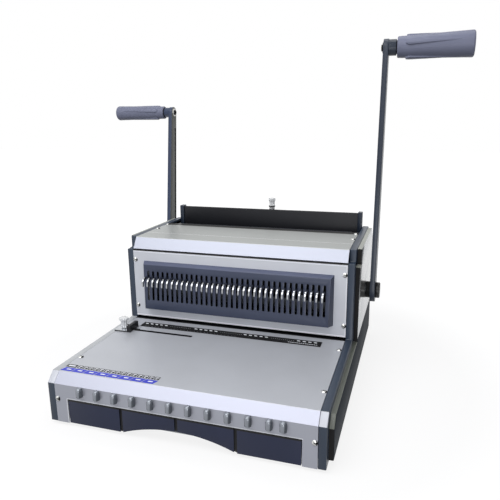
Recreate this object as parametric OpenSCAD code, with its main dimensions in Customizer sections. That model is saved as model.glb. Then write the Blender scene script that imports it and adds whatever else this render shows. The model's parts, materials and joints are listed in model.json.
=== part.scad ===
/* [Base] */
// Half the width of the metal panels
panel_hw = 175; // [150:1:210]
// Distance from the head's front panel forward to the front of the base
base_reach = 220; // [190:1:260]
// Distance from the head's front panel back to the rear of the case
rear_reach = 224; // [200:1:260]
// Height of the base, from its bottom edge to the paper plate
base_h = 67.6; // [58:0.1:80]
// Depth of the bright chamfer along the front of the plate
cham_y = 12.4; // [11:0.1:14]
// Drop of the bright chamfer along the front of the plate
cham_z = 12.7; // [11:0.1:14]
// Thickness of the folded steel sheet
sheet = 1.5; // [1.2:0.1:1.8]
// Height of the rubber feet
foot_h = 5; // [4:0.5:8]
// Radius of the rubber feet
foot_r = 11; // [9:0.5:13]

/* [Head] */
// Height of the front panel above the plate
head_h = 117; // [100:1:135]
// Height of the top cover above the front panel
lip_h = 18.5; // [16:0.5:22]
// Height of the gap in which the paper lies
throat = 3.3; // [3:0.1:3.6]
// How far the sloped front lip of the cover leans back
lip_run = 13; // [11:0.5:15]
// Distance back to the joint between the two cover sheets
cover_split = 52; // [46:1:60]
// Width of the dark strip of the side covers
strip_w = 10.3; // [9:0.1:12]
// How far the side covers stand out beyond that strip
pad_w = 6.7; // [5:0.1:8]

/* [Punch] */
// Pitch of the wire binding holes
pitch = 8.4667; // [8.4667:0.0001:8.4667]
// Side of a square punch
pin_w = 4; // [3.6:0.1:4.2]
// Distance from the front panel back to the line of punches
punch_y = 30; // [29:0.5:31]
// Travel of the pressure bar
stroke = 12; // [11:0.5:12.5]
// Radius of the two lever shafts
shaft_r = 10; // [9:0.5:10.5]
// Wall of the eccentric discs at their thinnest place
disc_wall = 0.7; // [0.6:0.1:1.5]

/* [Levers] */
// Length of the punch lever from its axis to its grip
punch_arm_l = 357; // [335:1:370]
// How far the punch lever leans back at rest, in degrees
punch_lean = 6; // [4:0.1:8]
// Length of the closer lever from its axis to its grip
closer_arm_l = 267; // [250:1:280]
// How far the closer lever leans back at rest, in degrees
closer_lean = 6.6; // [4:0.1:8]
// Depth of the punch lever's flat arm at its shaft
punch_arm_d = 36; // [34:0.5:38]
// Depth of the closer lever's flat arm at its shaft
closer_arm_d = 30; // [29:0.5:32]
// Share of that depth which is left at the grip
arm_top_share = 0.68; // [0.66:0.01:0.74]
// Thickness of the flat arms
arm_t = 7.5; // [6:0.5:8]
// Gap between the right side cover and the punch arm
punch_arm_gap = 12.5; // [11:0.5:14]
// Gap between the left side cover and the closer arm
closer_arm_gap = 8; // [7:0.5:10]
// Length of a grip
grip_l = 103; // [95:1:110]
// Radius of the punch grip at its inner end
punch_grip_r1 = 14.7; // [13:0.1:15]
// Radius of the punch grip at its outer end
punch_grip_r2 = 18; // [17:0.1:19]
// Radius of the closer grip at its inner end
closer_grip_r1 = 11.8; // [11:0.1:13]
// Radius of the closer grip at its outer end
closer_grip_r2 = 13.8; // [13:0.1:15]
// Turn of both levers from rest to the end of their stroke, in degrees
lever_turn = 80; // [80:1:80]

/* [Closer] */
// Distance from the closer bar's front face to the rear of the case
bar_in = 38; // [37:0.5:39]
// Height of the closer bar
bar_h = 41.7; // [36:0.1:48]
// Radius of the closer cranks, from the shaft's axis to the crank pin
crank_r = 22; // [21:0.5:22.5]

/* [Drawer and pulls] */
// Width of the front sheet on either side of the drawer opening
drawer_in = 18; // [16:0.5:22]
// Height of the front sheet between the chamfer and the drawer opening
band_h = 19.9; // [18:0.1:24]
// Radius of the finger arch under the drawer front
arch_r = 210; // [200:1:220]
// Rise of the finger arch
arch_rise = 15; // [12:0.5:16]
// Travel of a pin pull
pull_travel = 8; // [7:0.5:8.5]

/* [Hidden] */
$fn = 64;
fine = 96;
slim = 24;
smooth = 180;
more = 1;
sink = 0.1;
gap = 0.3;

// Colours as the photograph shows them
silver = "#b4b8bf";
navy = "#2c3647";
violet = "#4a4d68";
slate = "#31364a";
black = "#1b1c20";
steel = "#9aa0a8";
bright = "#d6d8da";
grip_grey = "#5d5f70";

// Two values that lie at the offsets o from one value
function at(c, o) = [c + o[0], c + o[1]];

// Outline of the case
cover_h = head_h + lip_h;
strip_x = panel_hw + strip_w;
pad_x = strip_x + pad_w;
floor_z = -base_h;
fold = sheet * tan(22.5);
ledge_y = 14.5;
rear_cham = 26;
panel_gap = 0.2;
pad_inset = [10, 12, 7];
pad_drop = 1.2;
wall = 3;
bed_drop = 17.5;
bed_z = cover_h - bed_drop;

// Inner frame plates, and the tabs that the panels are screwed to
frame_in = 12.5;
frame_t = 3;
frame_gap = 2;
frame_x = panel_hw - frame_in;
frame_out = frame_x + frame_t;
tab_t = 2.5;
tab_w = 16;
tab_in = 0.5;
tab_end = panel_hw - tab_in;
under = sheet + tab_t;
function tab(c) = [c - tab_w / 2, c + tab_w / 2];

// Line of punches, hooks and slots; the number of them follows the width
pin_margin = 14;
pin_count = 2 * floor((frame_x - pin_margin) / pitch) + 1;
first_x = -(pin_count - 1) / 2 * pitch;
function pin_x(i) = first_x + i * pitch;
block_off = [-12, 16];
block_y = at(punch_y, block_off);
block_foot = 4;
die_t = 12;
die_play = 0.15;
guide_t = 14.7;
guide_top = throat + guide_t;
guide_play = 0.1;
press_off = [-10, 14];
press_y = at(punch_y, press_off);
press_room = 5;
press_t = 14;
press_z = [guide_top + stroke + press_room, guide_top + stroke + press_room + press_t];
pin_head_h = 4;
pin_head_rim = 1.2;
pin_head_w = pin_w + 2 * pin_head_rim;
pin_gap = 1;
pin_tip = throat + pin_gap;

// Trim, hooks and their rail
trim_low_gap = 16.7;
trim_high_gap = 18;
trim_z = [throat + trim_low_gap, head_h - trim_high_gap];
trim_side = 12.07;
trim_hw = trim_side - first_x;
trim_out = [14, 9];
trim_edge = [1.5, 4];
trim_low = [-trim_out[0], trim_z[0] + trim_edge[0]];
trim_top = [-trim_out[1], trim_z[1] - trim_edge[1]];
trim_taper_share = 0.38;
trim_wall = 2.5;
window_in = [7, 6];
hook_slot_in = [16.5, 14];
hook_slot_z = [trim_z[0] + hook_slot_in[0], trim_z[1] - hook_slot_in[1]];
hook_slot_w = 3.8;
hook_t = 2.2;
hook_down = 21;
hook_z = trim_z[1] - hook_down;
hook_h = 3.4;
hook_reach = 21;
hook_bend = 10.5;
hook_drop = 1.5;
rail_gap = 2.5;
rail_t = 4;
rail_off = [-16, 6];
rail_y = [sheet + rail_gap, sheet + rail_gap + rail_t];
rail_z = at(hook_z, rail_off);

// Eccentric drive of the pressure bar
drive_angle = lever_turn / 2;
drive_play = 0.4;
ecc = stroke / 2 / sin(drive_angle);
disc_r = shaft_r + ecc + disc_wall;
window_hy = disc_r + ecc * (1 - cos(drive_angle)) + drive_play;
window_hz = disc_r + drive_play;
lug_t = 8;
lug_wall = 7;
lug_front = 7.2;
lug_floor = 1.6;
disc_y = rail_y[1] + lug_front + lug_wall + window_hy;
disc_z = press_z[1] + lug_floor + window_hz;
punch_axis_y = disc_y + ecc * cos(drive_angle);
punch_axis_z = disc_z - ecc * sin(drive_angle);

// Tongues of the pressure bar in the frame plates
tongue_in = [4, 2];
tongue_y = [press_y[0] + tongue_in[0], press_y[1] - tongue_in[0]];
tongue_z = [press_z[0] + tongue_in[1], press_z[1] - tongue_in[1]];
tongue_play = 0.2;
tongue_stop = 0.5;

// Return springs, between the last punch's head and the frame plate
spring_gap = 2;
spring_clear = 0.8;
spring_room = [pin_head_w / 2 - first_x, frame_x - spring_gap];
spring_x = (spring_room[0] + spring_room[1]) / 2;
spring_wire = 0.6;
spring_r = (spring_room[1] - spring_room[0]) / 2 - spring_wire - spring_clear;
spring_turns = 4;
spring_y = (press_y[0] + press_y[1]) / 2;

// Closer bar, its crank drive and the jaw that it closes on
closer_gap = 2.46;
jaw_gap = 5.7;
crank_a = lever_turn / 2;
crank_pin_r = 4;
crank_wall = 2.5;
crank_hub = 5;
crank_t = 8;
crank_in = 32.5;
crank_x = frame_x - crank_in;
crank_pin_l = 2 * crank_t;
yoke_x = crank_x - crank_t;
yoke_t = 6;
yoke_play = 0.7;
yoke_wall = 2.7;
yoke_lift = 0.6;
yoke_roof = 5.3;
yoke_hy = crank_pin_r + yoke_play + yoke_wall;
crank_y = rear_reach - sheet - closer_gap - yoke_hy;
closer_axis_y = crank_y - crank_r * sin(crank_a);
bar_travel = 2 * crank_r * sin(crank_a);
bar_d = 5;
bar_y = [rear_reach - bar_in, rear_reach - bar_in + bar_d];
bar_side = 8;
bar_hw = panel_hw - bar_side;
bar_bottom = bed_z + gap;
bar_top = bar_bottom + bar_h;
bracket_off = [-2, 12];
bracket_y = at(bar_y[0], bracket_off);
bracket_rise = 1.5;
anvil_t = 8;
anvil_h = 15;
anvil_in = 0.5;
anvil_y = [bar_y[0] - bar_travel - jaw_gap - anvil_t, bar_y[0] - bar_travel - jaw_gap];
anvil_room = 7;
cover_back = anvil_y[0] - anvil_room;
carriage_front = 2;
carriage_off = [-14, -8];
carriage_y = [bar_y[0] - carriage_front, crank_y + yoke_hy];
carriage_z = at(bed_z, carriage_off);
carriage_in = 2.5;
yoke_top = carriage_z[0] - yoke_roof;
closer_axis_z = yoke_top - yoke_play - crank_pin_r - crank_r;
crank_z = closer_axis_z + crank_r * cos(crank_a);
yoke_low = closer_axis_z + shaft_r + yoke_lift;
upright_off = [-12.5, -4.5];
upright_d = 6;
upright_x = at(frame_x, upright_off);
upright_y = [bar_y[1], bar_y[1] + upright_d];
upright_top = bar_top - upright_d;
slot_play = 1.5;

// Panel screws
screw_in = 3.5;
screw_x = panel_hw - screw_in;
screw_r = 1.6;
screw_play = 0.15;
screw_head_r = 3.6;
screw_head_h = 1.8;
screw_dome_r = 5.2;
screw_l = 8;
cross_l = 4;
cross_w = 0.8;
panel_screw_in = [17.7, 17];
panel_screw_z = [throat + panel_screw_in[0], head_h - panel_screw_in[1]];
plate_screw_in = [56, -40];
plate_screw_y = [plate_screw_in[0] - base_reach, plate_screw_in[1]];
front_screw_in = 1.4;
front_screw_z = -cham_z - band_h - front_screw_in;
cover_screw_in = 13;
cover_screw_share = 0.444;
cover_screw_y = [cover_split + cover_screw_share * (cover_back - cover_screw_in - cover_split),
    cover_back - cover_screw_in];
bed_tab_in = 28;
bed_tab_y = cover_back + bed_tab_in;

// Levers
bush_wall = 3;
bush_r = shaft_r + bush_wall;
bush_in = 4;
bush_stub = 6;
press_play = 0.02;
run_play = 0.06;
bush_out = [5, 2.5];
punch_bush_end = pad_x + bush_out[0];
closer_bush_end = pad_x + bush_out[1];
punch_arm_x = pad_x + punch_arm_gap;
closer_arm_x = pad_x + closer_arm_gap;
collar_wall = 2.5;
collar_r = shaft_r + collar_wall;
collar_gap = 0.5;
cap_wall = 2;
cap_r = shaft_r + cap_wall;
cap_t = 6.5;
boss_t = 10.5;
boss_in = 1;
bolt_r = 4;
bolt_head = [4.6, 1.8];
bolt_socket = [2.4, 1.4];
bolt_ring = [7.4, 1.3];
washer = [9.5, 1.2];
groove_at = 4.8;
groove_cut = [2.2, 1];
punch_grip_x = punch_arm_x + arm_t + boss_t + washer[1] + gap;
closer_grip_x = closer_arm_x + arm_t + boss_t + washer[1] + gap;
punch_top_y = punch_axis_y + punch_arm_l * sin(punch_lean);
closer_top_y = closer_axis_y + closer_arm_l * sin(closer_lean);

// Grips
rib_w = [8, 1.4];
rib_in = [12, 19];
rib_at = [rib_in[0], grip_l - rib_in[1]];
rib_nose = 4;
rib_share = 0.98;
rib_count = 4;
rib_turn = 78;
grip_round = 3;
grip_edge = 1;
grip_solid = 11;
grip_bore = grip_l - grip_solid;

// Drawer
opening_top = -cham_z - band_h;
drawer_hw = panel_hw - drawer_in;
drawer_set = 0.5;
drawer_play = 0.7;
drawer_face = drawer_set - base_reach;
drawer_t = 6.5;
drawer_z = [floor_z + drawer_set, opening_top - drawer_play];
drawer_side = 1;
tray_in = [5, 20, 2.8];
tray_end = 62;
tray_hw = drawer_hw - tray_in[0];
tray_y = [tray_in[1] - base_reach, tray_end];
tray_z = [floor_z + sheet + gap, opening_top - tray_in[2]];
tray_wall = 2;
tray_lug_out = 42;
tray_lug_x = drawer_hw - tray_lug_out;
tray_lug_hw = 12;
tray_lug_in = 4;
groove_x = [-78.5, -1.5, 76];
groove_w = 4;
groove_d = 2;

// Pulls in the front of the base; each works the punch at its share of the row
pull_shares = [for (i = [1, 4, 7, 10, 13, 16, 19, 22, 25, 28, 31, 33]) i / 33.99];
pull_pins = [for (share = pull_shares) floor(share * (pin_count - 1))];
lug_pulls = [0, 5, 9];
knob_r = 4.3;
knob_out = 3;
knob_off = [7.9, 16.3];
knob_z = at(opening_top, knob_off);
knob_y = -base_reach - knob_out;
pull_off = [8.6, 15.6];
pull_z = at(opening_top, pull_off);
pull_t = 2.4;
pull_play = 0.4;
pull_shift = pitch / 2;
jog_in = 21.6;
jog_y = jog_in - base_reach;
latch_hw = 3.5;
latch_t = 3.4;
latch_off = [3.6, 2];
latch_y = [press_y[1], press_y[1] + latch_t];
latch_z = [press_z[0] - latch_off[0], press_z[1] - latch_off[1]];
latch_gap = 0.6;
blade_t = 2.5;
blade_rim = 3;
blade_lift = 2;
blade_rise = 10;
blade_front = latch_y[1] + latch_gap + pull_travel;
blade_y = [blade_front, blade_front + blade_t];
blade_z = [guide_top + blade_lift, press_z[0] + blade_rise];
comb_off = [10, 13];
comb_y = at(punch_y, comb_off);
comb_side = 6;
comb_hw = comb_side - first_x;
comb_deep = 5;
comb_low = pull_z[0] - comb_deep;
function blade_x(k) = [pin_x(pull_pins[k]) - blade_rim, pin_x(pull_pins[k]) + pull_shift + pull_t / 2];
lug_x = [for (k = lug_pulls) (blade_x(k)[1] + blade_x(k + 1)[0]) / 2];

// Feet and tie rods
foot_in = [25, 32, 36];
foot_x = panel_hw - foot_in[0];
foot_y = [foot_in[1] - base_reach, rear_reach - foot_in[2]];
stud_r = 3.9;
stud_play = 0.1;
foot_taper = 1;
rod_r = 5;
rod_low = [20, 19.6];
rod_high = [15, 13];
rod_mid = [3, 20];
rod_rear = [11.5, 27.6];
rod_at = [[tray_end + rod_low[0], floor_z + rod_low[1]],
    [cover_back - rod_high[0], head_h - rod_high[1]], [cover_back + rod_mid[0], rod_mid[1]],
    [closer_axis_y + rod_rear[0], floor_z + rod_rear[1]]];

// Paper plate
guide_in = 25;
guide_x = guide_in - panel_hw;
slot_off = [4, 98];
slot_x = at(guide_x, slot_off);
slot_y = -54;
slot_w = 4;
ruler_side = 5;
ruler_x = [first_x - ruler_side, -first_x];
ruler_y = [-37.6, -20.4];
ruler_t = 0.5;

// Edge guide and its clamp screw
guide_base = [28, 1.8];
guide_hy = [13, 9];
guide_block = [6, 10];
guide_tongue = [3, 9, 1.7];
guide_lift = 0.2;
clamp_in = 18;
clamp_x = guide_x - clamp_in;
clamp_head = [5, 16];
clamp_rim = [7.3, 3.4];
stem_r = 3;

// Knob that sets how far the closer opens
size_knob_x = 5.6;
size_knob_back = 13;
size_knob_y = bar_y[1] + size_knob_back;
size_knob_head = [5.2, 16];
size_knob_rim = [6.4, 5];
size_knob_ring = [6.2, 2];
size_knob_rise = 3;
collar_drop = 6;
flute_count = 9;
flute_r = 1.3;
flute_out = 0.4;

// Sloped lip of the cover
lip_foot = [1.5, 1.2];
lip_sheet_share = 1.3;
lip_sheet = lip_sheet_share * sheet;
split_half = 0.3;

// Middle of the whole object, which the origin lies under
mid_x = (punch_grip_x - closer_grip_x) / 2;
mid_y = (closer_top_y + closer_grip_r2 + knob_y - knob_r) / 2;
module place() { translate([-mid_x, -mid_y, base_h + foot_h]) children(); }

// A box given by its two corners on each axis
module box(x, y, z) {
    translate([x[0], y[0], z[0]]) cube([x[1] - x[0], y[1] - y[0], z[1] - z[0]]);
}

// What is drawn for the right side, carried over to the left as well
module both() {
    children();
    mirror([1, 0, 0]) children();
}

// Two values that lie equally far on either side of one
function around(c, h) = [c - h, c + h];

// A cylinder from one side to the other along X, and its like along Y
module rod_x(x, y, z, r) { translate([x[0], y, z]) rotate([0, 90, 0]) cylinder(h = x[1] - x[0], r = r); }
module rod_y(x, y, z, r) { translate([x, y[1], z]) rotate([90, 0, 0]) cylinder(h = y[1] - y[0], r = r); }

// A profile drawn in Y and Z, carried across from x[0] to x[1]
module across(x) {
    translate([x[0], 0, 0]) rotate([90, 0, 90]) linear_extrude(x[1] - x[0]) children();
}

// Places of the right side's screws, with +Z pointing out of the panel, and the hole of each
module at_panel() { for (z = panel_screw_z) translate([screw_x, 0, z]) rotate([90, 0, 0]) children(); }
module at_front() { translate([screw_x, -base_reach, front_screw_z]) rotate([90, 0, 0]) children(); }
module at_plate() { for (y = plate_screw_y) translate([screw_x, y, 0]) children(); }
module at_cover() { for (y = cover_screw_y) translate([screw_x, y, cover_h]) children(); }
module screw_hole() {
    translate([0, 0, -under - more]) cylinder(h = under + 2 * more, r = screw_r + screw_play);
}

// Side of the machine, low in front and tall behind, drawn in Y and Z and carried across.
// The insets are those of the base's front, of the head's front and of the other edges.
module side_solid(x, inset, drop) {
    front = -base_reach + inset[0];
    back = rear_reach - inset[2];
    low = floor_z + inset[2];
    ledge = head_h - inset[2];
    high = cover_h - drop;
    across(x) polygon([
        [front, low], [front, -inset[2] - cham_z], [front + cham_y, -inset[2]],
        [inset[1], -inset[2]], [inset[1], ledge], [ledge_y + inset[1], ledge],
        [ledge_y + inset[1], high], [back - rear_cham, high], [back, high - rear_cham], [back, low]]);
}

// Dark moulded cover of one side, hollow towards the frame
module side_cover(axis_y, axis_z) {
    difference() {
        union() {
            side_solid([panel_hw + panel_gap, strip_x], [0, 0, 0], 0);
            side_solid([strip_x - more, pad_x], pad_inset, pad_drop);
        }
        side_solid([panel_hw - more, pad_x - wall], pad_inset + [wall, wall, wall], wall + pad_drop);
        rod_x([panel_hw, pad_x + more], axis_y, axis_z, bush_r + gap);
    }
}
module side_cover_right() { color(navy) place() side_cover(punch_axis_y, punch_axis_z); }
module side_cover_left() {
    color(navy) place() mirror([1, 0, 0]) side_cover(closer_axis_y, closer_axis_z);
}

// Steel plate that carries both shafts, with tabs bent outwards for the panel screws
module frame_outline() {
    low = floor_z + sheet;
    front = -base_reach + under;
    rear = rear_reach - sheet - gap;
    step = cover_back - sheet - gap;
    polygon([[front, low], [front, -cham_z - under], [-base_reach + cham_y + frame_gap, -under],
        [under, -under], [under, head_h - wall], [ledge_y + wall, head_h - wall],
        [ledge_y + wall, cover_h - under], [step, cover_h - under], [step, bed_z - under],
        [rear, bed_z - under], [rear, low]]);
}
module side_frame() {
    tab_x = [frame_x, tab_end];
    difference() {
        union() {
            across([frame_x, frame_out]) frame_outline();
            for (z = panel_screw_z) box(tab_x, [sheet, under + sink], tab(z));
            box(tab_x, [-base_reach + sheet, -base_reach + under + sink], tab(front_screw_z));
            for (y = plate_screw_y) box(tab_x, tab(y), [-under - sink, -sheet]);
            for (y = cover_screw_y) box(tab_x, tab(y), [cover_h - under - sink, cover_h - sheet]);
            box(tab_x, tab(bed_tab_y), [bed_z - under - sink, bed_z - sheet]);
        }
        at_panel() screw_hole();
        at_front() screw_hole();
        at_plate() screw_hole();
        at_cover() screw_hole();
        rod_x([frame_x - more, frame_out + more], punch_axis_y, punch_axis_z, bush_r + press_play);
        rod_x([frame_x - more, frame_out + more], closer_axis_y, closer_axis_z, bush_r + press_play);
        box([frame_x - more, frame_out + more], [tongue_y[0] - tongue_play, tongue_y[1] + tongue_play],
            [tongue_z[0] - stroke - tongue_stop, tongue_z[1] + tongue_stop]);
    }
}
module side_frame_right() { color(steel) place() side_frame(); }
module side_frame_left() { color(steel) place() mirror([1, 0, 0]) side_frame(); }

// Bottom sheet of the base
module base_pan() {
    color(silver) place() difference() {
        box([-tab_end, tab_end], [tray_y[0], rear_reach - sheet - panel_gap], [floor_z, floor_z + sheet]);
        both() for (y = foot_y) translate([foot_x, y, floor_z - more])
            cylinder(h = sheet + 2 * more, r = stud_r + stud_play);
    }
}

// One folded sheet: paper plate, bright chamfer and slotted front with the drawer opening
module base_top() {
    front = [-base_reach - more, -base_reach + under];
    rear = block_y[0] - panel_gap;
    color(silver) place() difference() {
        across([-panel_hw, panel_hw]) polygon([
            [rear, 0], [-base_reach + cham_y, 0], [-base_reach, -cham_z], [-base_reach, floor_z],
            [-base_reach + sheet, floor_z], [-base_reach + sheet, -cham_z - fold],
            [-base_reach + cham_y + fold, -sheet], [rear, -sheet]]);
        box([-drawer_hw, drawer_hw], front, [floor_z - more, opening_top]);
        for (i = pull_pins) box(around(pin_x(i), pull_t / 2 + pull_play), front,
            [pull_z[0] - pull_play, pull_z[1] + pull_play]);
        box(slot_x, around(slot_y, slot_w / 2), [-sheet - more, more]);
        for (x = slot_x) translate([x, slot_y, -sheet - more]) cylinder(h = sheet + 2 * more, r = slot_w / 2);
        both() {
            at_front() screw_hole();
            at_plate() screw_hole();
            box([frame_x - gap, panel_hw + more], [under - gap, rear + more], [-sheet - more, more]);
        }
    }
}

// Silver front of the head, open behind the hooks
module front_panel() {
    color(silver) place() difference() {
        box([-panel_hw, panel_hw], [0, sheet], [throat, head_h]);
        box([-trim_hw + window_in[0], trim_hw - window_in[0]], [-more, sheet + more],
            [trim_z[0] + window_in[1], trim_z[1] - window_in[1]]);
        both() at_panel() screw_hole();
    }
}

// Raised violet trim with a round-ended slot for each hook
module trim_solid(in) {
    root = in > 0 ? more : 0;
    side = trim_hw - in;
    intersection() {
        across([-trim_hw, trim_hw]) polygon([[root, trim_z[0] + in], [root, trim_z[1] - in],
            [trim_top[0] + in, trim_top[1] - in / 2], [trim_low[0] + in, trim_low[1] + in]]);
        translate([0, 0, trim_z[0]]) linear_extrude(trim_z[1] - trim_z[0]) polygon([
            [-side, root], [side, root], [side + trim_taper_share * trim_low[0], trim_low[0]],
            [-side - trim_taper_share * trim_low[0], trim_low[0]]]);
    }
}
module hook_trim() {
    ends = [hook_slot_z[0] + hook_slot_w / 2, hook_slot_z[1] - hook_slot_w / 2];
    color(violet) place() difference() {
        trim_solid(0);
        trim_solid(trim_wall);
        for (i = [0:pin_count - 1]) {
            box(around(pin_x(i), hook_slot_w / 2), [trim_low[0] - more, more], ends);
            for (z = ends) rod_y(pin_x(i), [trim_low[0] - more, more], z, hook_slot_w / 2);
        }
    }
}

// Rail behind the front panel, and the bright hooks that stand out through the slots
module hook_rail() { color(steel) place() box([-frame_x, frame_x], rail_y, rail_z); }
module hook_profile() {
    translate([-hook_reach, hook_z - hook_h]) square([hook_reach + rail_y[0], hook_h]);
    translate([-hook_reach, hook_z - hook_bend]) intersection() {
        difference() { circle(r = hook_bend); circle(r = hook_bend - hook_h); }
        translate([-hook_bend, 0]) square(hook_bend);
    }
    translate([-hook_reach - hook_bend, hook_z - hook_bend - hook_drop]) square([hook_h, hook_drop]);
    translate([-hook_reach - hook_bend + hook_h / 2, hook_z - hook_bend - hook_drop]) circle(r = hook_h / 2);
}
module wire_hooks() {
    color(bright) place() for (i = [0:pin_count - 1])
        across(around(pin_x(i), hook_t / 2)) hook_profile($fn = slim);
}

// Top cover in two sheets: the front one has the sloped lip
module cover_front() {
    back = cover_split - split_half;
    color(silver) place() across([-panel_hw, panel_hw]) polygon([
        [lip_foot[0], head_h + lip_foot[1]], [lip_run, cover_h], [back, cover_h], [back, cover_h - sheet],
        [lip_run + lip_sheet / 2, cover_h - sheet], [lip_foot[0] + lip_sheet, head_h + lip_foot[1]]]);
}
module cover_rear() {
    front = cover_split + split_half;
    color(silver) place() difference() {
        across([-panel_hw, panel_hw]) polygon([
            [front, cover_h], [cover_back, cover_h], [cover_back, bed_z], [cover_back - sheet, bed_z],
            [cover_back - sheet, cover_h - sheet], [front, cover_h - sheet]]);
        both() at_cover() screw_hole();
    }
}

// Rear sheet of the case
module rear_panel() {
    color(silver) place()
        box([-panel_hw, panel_hw], [rear_reach - sheet, rear_reach], [floor_z, bed_z - sheet]);
}

// Bed of the wire closer, and the fixed jaw on it
module closer_bed() {
    through = [bed_z - sheet - more, bed_z + more];
    color(black) place() difference() {
        box([-tab_end, tab_end], [cover_back - sheet, rear_reach], [bed_z - sheet, bed_z]);
        both() box([upright_x[0] - slot_play, upright_x[1] + slot_play],
            [upright_y[0] - bar_travel - slot_play, upright_y[1] + slot_play], through);
        translate([size_knob_x, size_knob_y, through[0]])
            cylinder(h = sheet + 2 * more, r = stem_r + run_play);
    }
}
module closer_anvil() {
    color(steel) place() box([-frame_x + anvil_in, frame_x - anvil_in], anvil_y, [bed_z, bed_z + anvil_h]);
}

// Die below the paper and guide above it, with a square hole for each punch
module pin_holes(z, play) {
    w = pin_w / 2 + play;
    for (i = [0:pin_count - 1]) box(around(pin_x(i), w), around(punch_y, w), z);
}
module die_block() {
    color(steel) place() difference() {
        box([-frame_x, frame_x], block_y, [-die_t, 0]);
        pin_holes([-die_t - more, more], die_play);
    }
}
module guide_block() {
    color(steel) place() difference() {
        union() {
            box([-frame_x, frame_x], block_y, [throat, guide_top]);
            both() box([frame_x - block_foot, frame_x], block_y, [0, throat + more]);
        }
        pin_holes([throat - more, guide_top + more], guide_play);
    }
}

// Strip that stops the paper's edge behind the punches
module back_gauge() {
    color(steel) place() box([-frame_x + 2 * block_foot, frame_x - 2 * block_foot],
        [punch_y + pin_w / 2 + wall, punch_y + pin_w / 2 + 2 * wall], [0, throat]);
}

// Round bars between the frame plates
module tie_rods() { color(steel) place() for (p = rod_at) rod_x([-frame_x, frame_x], p[0], p[1], rod_r); }

// Bushes of the two shafts: long on the lever's side, short on the other
module bush(x, y, z) {
    difference() {
        rod_x(x, y, z, bush_r);
        rod_x([x[0] - more, x[1] + more], y, z, shaft_r + run_play);
    }
}
module shaft_bushes() {
    long_punch = [frame_x - bush_in, punch_bush_end];
    long_closer = [frame_x - bush_in, closer_bush_end];
    short = [frame_x - bush_in, frame_out + bush_stub];
    color(black) place() {
        bush(long_punch, punch_axis_y, punch_axis_z);
        bush(short, closer_axis_y, closer_axis_z);
        mirror([1, 0, 0]) {
            bush(short, punch_axis_y, punch_axis_z);
            bush(long_closer, closer_axis_y, closer_axis_z);
        }
    }
}

// Comb under the die that keeps the pull strips in line
module pull_guide() {
    color(steel) place() difference() {
        box([-comb_hw, comb_hw], comb_y, [comb_low, -die_t]);
        for (i = pull_pins) box(around(pin_x(i) + pull_shift, pull_t / 2 + pull_play),
            [comb_y[0] - more, comb_y[1] + more], [pull_z[0] - pull_play, pull_z[1] + pull_play]);
    }
}

module rubber_feet() {
    color(black) place() both() for (y = foot_y) translate([foot_x, y, floor_z - foot_h]) {
        cylinder(h = foot_h, r1 = foot_r - foot_taper, r2 = foot_r);
        cylinder(h = foot_h + sheet, r = stud_r);
    }
}

// Cross-head screws of the panels
module screw() {
    difference() {
        union() {
            rotate_extrude($fn = slim) intersection() {
                translate([0, screw_head_h - screw_dome_r]) circle(r = screw_dome_r, $fn = fine);
                square([screw_head_r, screw_head_h]);
            }
            translate([0, 0, -screw_l]) cylinder(h = screw_l + sink, r = screw_r, $fn = slim);
        }
        for (a = [0, 90]) rotate(a)
            box(around(0, cross_l / 2), around(0, cross_w / 2), [screw_head_h / 2, screw_head_h + more]);
    }
}
module panel_screws() {
    color(bright) place() both() {
        at_panel() rotate(20) screw();
        at_front() rotate(35) screw();
        at_plate() rotate(30) screw();
        at_cover() rotate(55) screw();
    }
}

module ruler_strip() { color(black) place() box(ruler_x, ruler_y, [0, ruler_t]); }

// Coil spring swept along its own helix
module coil(r, wire, turns, h) {
    sides = 8;
    steps = 14;
    n = turns * steps;
    pts = [for (i = [0:n]) let (a = 360 * i / steps) for (k = [0:sides - 1]) let (
        b = 360 * k / sides, q = r + wire * cos(b))
        [q * cos(a), q * sin(a), wire + (h - 2 * wire) * i / n + wire * sin(b)]];
    sidefaces = [for (i = [0:n - 1], k = [0:sides - 1]) let (m = (k + 1) % sides)
        [i * sides + k, i * sides + m, (i + 1) * sides + m, (i + 1) * sides + k]];
    polyhedron(pts, concat([[for (k = [sides - 1:-1:0]) k]], sidefaces,
        [[for (k = [0:sides - 1]) n * sides + k]]));
}
module punch_springs() {
    color(bright) place() both() translate([spring_x, spring_y, guide_top])
        coil(spring_r, spring_wire, spring_turns, press_z[0] - guide_top);
}

// Punch lever: shaft, eccentric discs, arm, cap and grip
module punch_shaft() {
    color(steel) place()
        rod_x([-frame_out - bush_stub, punch_arm_x + arm_t], punch_axis_y, punch_axis_z, shaft_r);
}
module punch_eccentrics() {
    color(steel) place() for (x = lug_x) difference() {
        rod_x(around(x, lug_t / 2), disc_y, disc_z, disc_r, $fn = fine);
        rod_x(around(x, lug_t), punch_axis_y, punch_axis_z, shaft_r);
    }
}

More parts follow.
